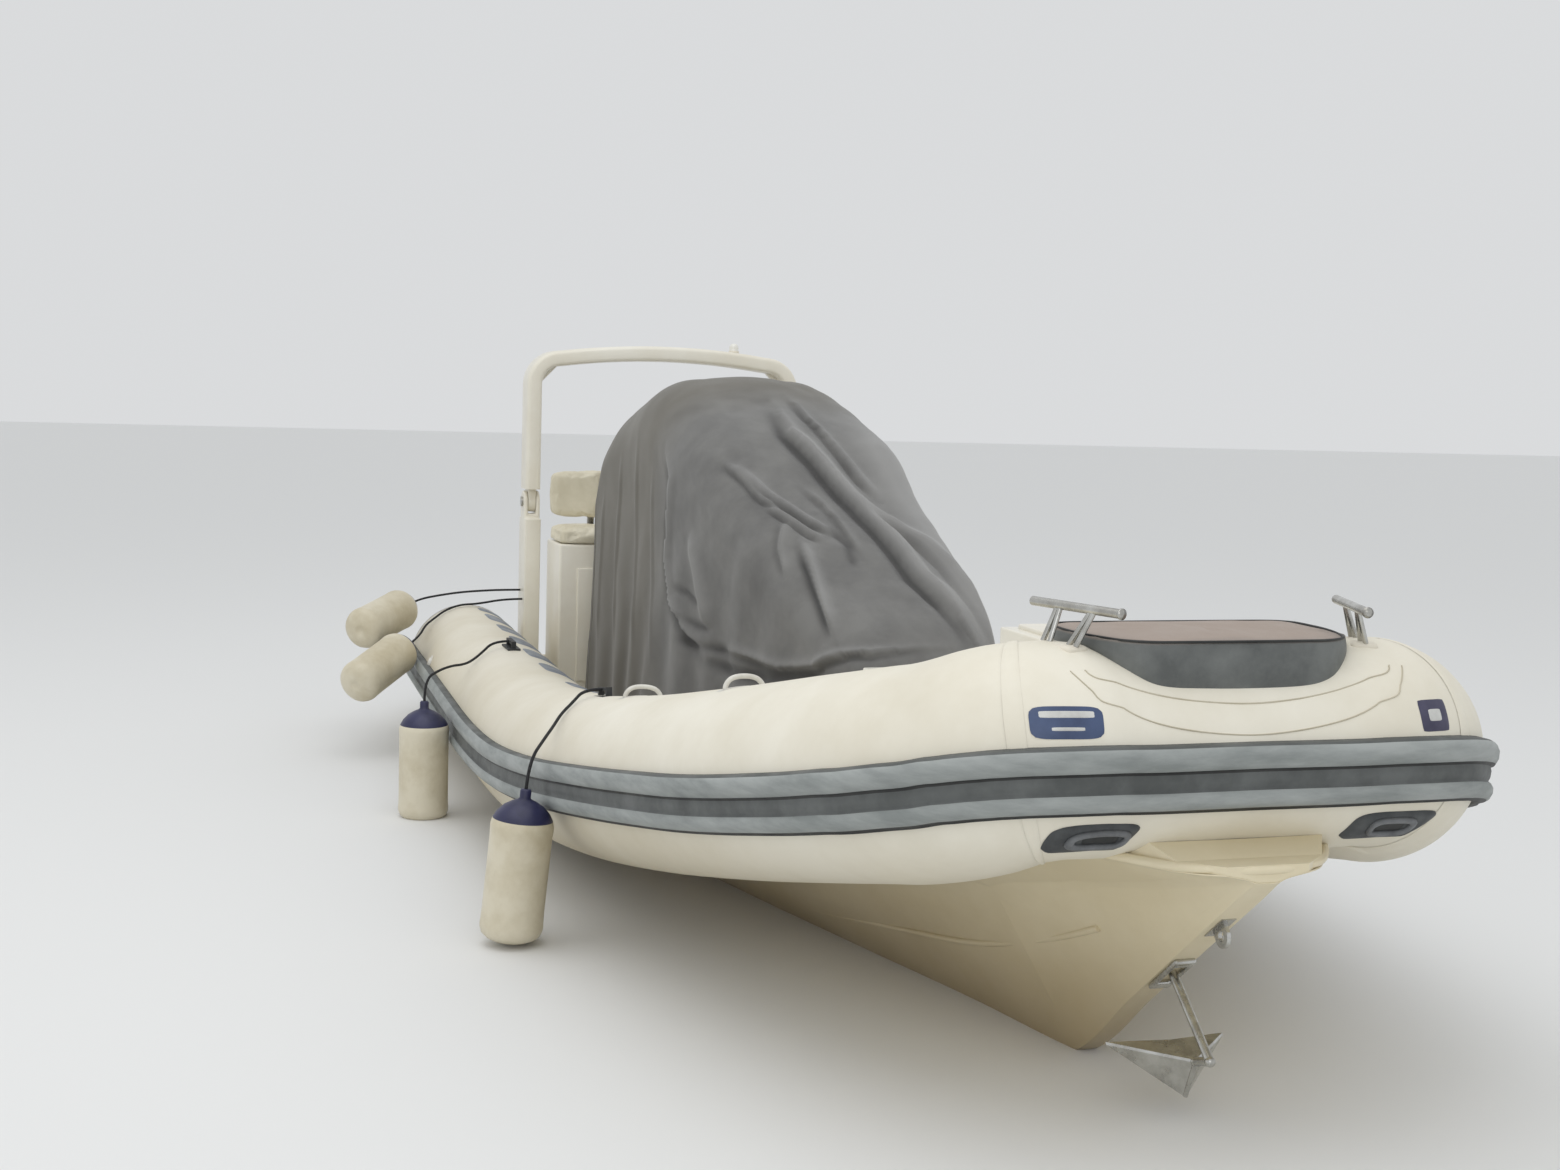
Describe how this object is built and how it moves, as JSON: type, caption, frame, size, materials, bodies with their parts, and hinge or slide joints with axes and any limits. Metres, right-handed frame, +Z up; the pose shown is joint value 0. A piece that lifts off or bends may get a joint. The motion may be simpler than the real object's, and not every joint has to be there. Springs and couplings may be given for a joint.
{
  "type": "rigid inflatable boat",
  "caption": "Open rigid inflatable boat with deep-vee hull, round the bow air tubes, covered console, helm seat, folding arch, anchor, fenders and an outboard engine.",
  "frame": {"origin": "on the centreline at the waterline, amidships", "axes": "+X to the bow, +Y to port, +Z up"},
  "size_m": [7.875, 3.3686, 3.1275],
  "materials": {
    "tube_fabric": "matt coated fabric",
    "cone_rubber": "matt",
    "strake_rubber": "matt ribbed",
    "gelcoat": "weathered gelcoat",
    "deck_gelcoat": "gelcoat",
    "pad_vinyl": "matt vinyl",
    "cover_canvas": "matt canvas",
    "seat_vinyl": "satin vinyl",
    "stainless": "polished",
    "lamp_plastic": "gloss",
    "engine_bracket": "satin",
    "engine_paint": "satin",
    "cowl_paint": "gloss",
    "propeller_metal": "satin",
    "black_rubber": "matt",
    "fender_vinyl": "satin vinyl",
    "line_rope": "braided"
  },
  "bodies": {
    "boat": {"tube_starboard": "tube_fabric", "tube_bow": "tube_fabric", "tube_port": "tube_fabric", "cone_starboard": "cone_rubber", "cone_port": "cone_rubber", "rubbing_strake": "strake_rubber", "hull": "gelcoat", "cockpit_sole": "deck_gelcoat", "bow_locker": "deck_gelcoat", "helm_seat_box": "deck_gelcoat", "arch_foot_starboard": "deck_gelcoat", "arch_foot_port": "deck_gelcoat", "bow_pad": "pad_vinyl", "console_cover": "cover_canvas", "seat_cushion": "seat_vinyl", "seat_backrest": "seat_vinyl", "arch_pin_starboard": "stainless", "arch_pin_port": "stainless", "backrest_stay_starboard": "stainless", "backrest_stay_port": "stainless", "bitt_starboard": "stainless", "bitt_port": "stainless", "tow_eye": "stainless", "anchor_socket": "stainless", "anchor": "stainless", "clamp_bracket": "engine_bracket", "handle_starboard": "black_rubber", "handle_port": "black_rubber", "grip_1": "black_rubber", "grip_2": "black_rubber", "fender_1": "fender_vinyl", "fender_2": "fender_vinyl", "fender_3": "fender_vinyl", "fender_4": "fender_vinyl", "line_1": "line_rope", "line_2": "line_rope", "line_3": "line_rope", "line_4": "line_rope"},
    "swivel": {"swivel_bracket": "engine_bracket"},
    "engine": {"engine_leg": "engine_paint", "engine_cowl": "cowl_paint"},
    "propeller": {"propeller": "propeller_metal"},
    "arch": {"arch_hoop": "deck_gelcoat", "arch_light": "lamp_plastic"}
  },
  "joints": [
    {"name": "engine_tilt", "type": "hinge", "parent": "boat", "child": "swivel", "pos_m": [-3.44, 0, 0.31], "axis": [0, 1, 0], "range_deg": [-4, 65]},
    {"name": "engine_steering", "type": "hinge", "parent": "swivel", "child": "engine", "pos_m": [-3.56, 0, 0.1], "axis": [0, 0, 1], "range_deg": [-32, 32]},
    {"name": "propeller_spin", "type": "hinge", "parent": "engine", "child": "propeller", "pos_m": [-3.972, 0, -0.64], "axis": [1, 0, 0], "continuous": true},
    {"name": "arch_fold", "type": "hinge", "parent": "boat", "child": "arch", "pos_m": [-2.8, 0, 1.3], "axis": [0, -1, 0], "range_deg": [0, 78]}
  ]
}
